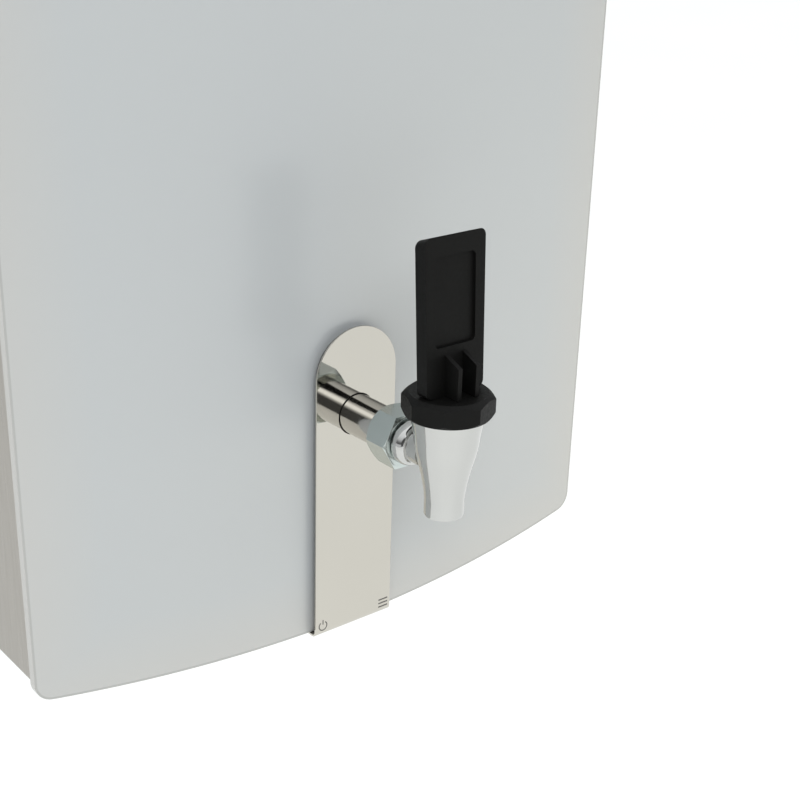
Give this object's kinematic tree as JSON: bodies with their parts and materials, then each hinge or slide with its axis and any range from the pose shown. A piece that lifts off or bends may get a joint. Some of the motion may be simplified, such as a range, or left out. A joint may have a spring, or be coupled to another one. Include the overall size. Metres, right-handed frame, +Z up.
{
  "type": "wall-mounted water boiler",
  "caption": "Wall-mounted water boiler with a bowed glass front, a stainless casing with an insulated tank, and a lever tap on a tube.",
  "frame": {"origin": "centre of the four wall holes, on the wall plane at the back of the back plate", "axes": "+X to the right as seen from the front, +Y into the wall, +Z up"},
  "size_m": [0.3136, 0.2774, 0.6204],
  "materials": {
    "stainless": "satin, fine vertical grain",
    "mirror_steel": "polished sheet",
    "zinc": "zinc plated",
    "chrome": "bright plated",
    "nickel": "satin plated",
    "tube_steel": "brushed round the tube",
    "glass": "pale back-painted glass, glossy",
    "black_plastic": "fine matt grain",
    "black_rubber": "matt",
    "silicone": "translucent red-brown silicone",
    "foam": "closed-cell foam",
    "brass": "machined",
    "circuit_board": "green laminate",
    "spring_steel": "drawn wire"
  },
  "bodies": {
    "boiler": {"case_wrap": "stainless", "base_panel": "stainless", "front_carrier": "stainless", "tank_shell": "stainless", "tank_lid": "stainless", "tank_strap": "stainless", "heating_element": "stainless", "level_probes": "stainless", "drain_pipe": "stainless", "feed_pipe": "stainless", "overflow_pipe": "stainless", "tap_strip": "mirror_steel", "back_plate": "zinc", "case_screws": "zinc", "stud_nuts": "zinc", "lid_screws": "zinc", "tank_bracket": "zinc", "board_standoffs": "zinc", "tap_body": "chrome", "tap_nut": "nickel", "tap_shank": "tube_steel", "glass_front": "glass", "button_pod": "black_plastic", "button_switches": "black_plastic", "probe_plug": "black_plastic", "overheat_cutout": "black_plastic", "valve_coil": "black_plastic", "board_components": "black_plastic", "terminal_block": "black_plastic", "cable_gland": "black_plastic", "bonnet": "black_plastic", "shank_grommet": "black_rubber", "lid_gasket": "silicone", "element_gasket": "silicone", "shank_washer": "silicone", "tail_washer": "silicone", "stem_seal": "silicone", "glass_tape": "foam", "strip_spacer": "foam", "tank_jacket": "foam", "jacket_cap": "foam", "element_nuts": "brass", "thermistor": "brass", "drain_cap": "brass", "inlet_valve": "brass", "inlet_locknut": "brass", "shank_backnut": "brass", "button_board": "circuit_board", "control_board": "circuit_board", "standby_spring": "spring_steel", "function_spring": "spring_steel", "plunger_spring": "spring_steel", "stem_spring": "spring_steel"},
    "stem": {"valve_stem": "black_plastic", "seat_cup": "silicone", "lever_pin": "stainless"},
    "lever": {"tap_lever": "black_plastic"},
    "standby_push": {"standby_button": "black_plastic"},
    "function_push": {"function_button": "black_plastic"},
    "plunger": {"valve_plunger": "stainless"}
  },
  "joints": [
    {"name": "stem_lift", "type": "slide", "parent": "boiler", "child": "stem", "axis": [0, 0, 1], "range_m": [0, 0.00623], "stiffness_N_per_m": 1200, "springref_m": -0.004, "deforming": ["stem_spring"]},
    {"name": "lever_tilt", "type": "hinge", "parent": "stem", "child": "lever", "pos_m": [0, -0.25792, -0.1653], "axis": [1, 0, 0], "range_deg": [0, 25]},
    {"name": "standby_press", "type": "slide", "parent": "boiler", "child": "standby_push", "axis": [0, 0, 1], "range_m": [0, 0.001], "stiffness_N_per_m": 600, "springref_m": -0.001, "deforming": ["standby_spring"]},
    {"name": "function_press", "type": "slide", "parent": "boiler", "child": "function_push", "axis": [0, 0, 1], "range_m": [0, 0.001], "stiffness_N_per_m": 600, "springref_m": -0.001, "deforming": ["function_spring"]},
    {"name": "plunger_lift", "type": "slide", "parent": "boiler", "child": "plunger", "axis": [0, 0, 1], "range_m": [0, 0.0025], "stiffness_N_per_m": 400, "springref_m": -0.004, "deforming": ["plunger_spring"]}
  ],
  "couplings": [
    {"joint": "lever_tilt", "follows": "stem_lift", "rad_per_m": 69.93}
  ]
}
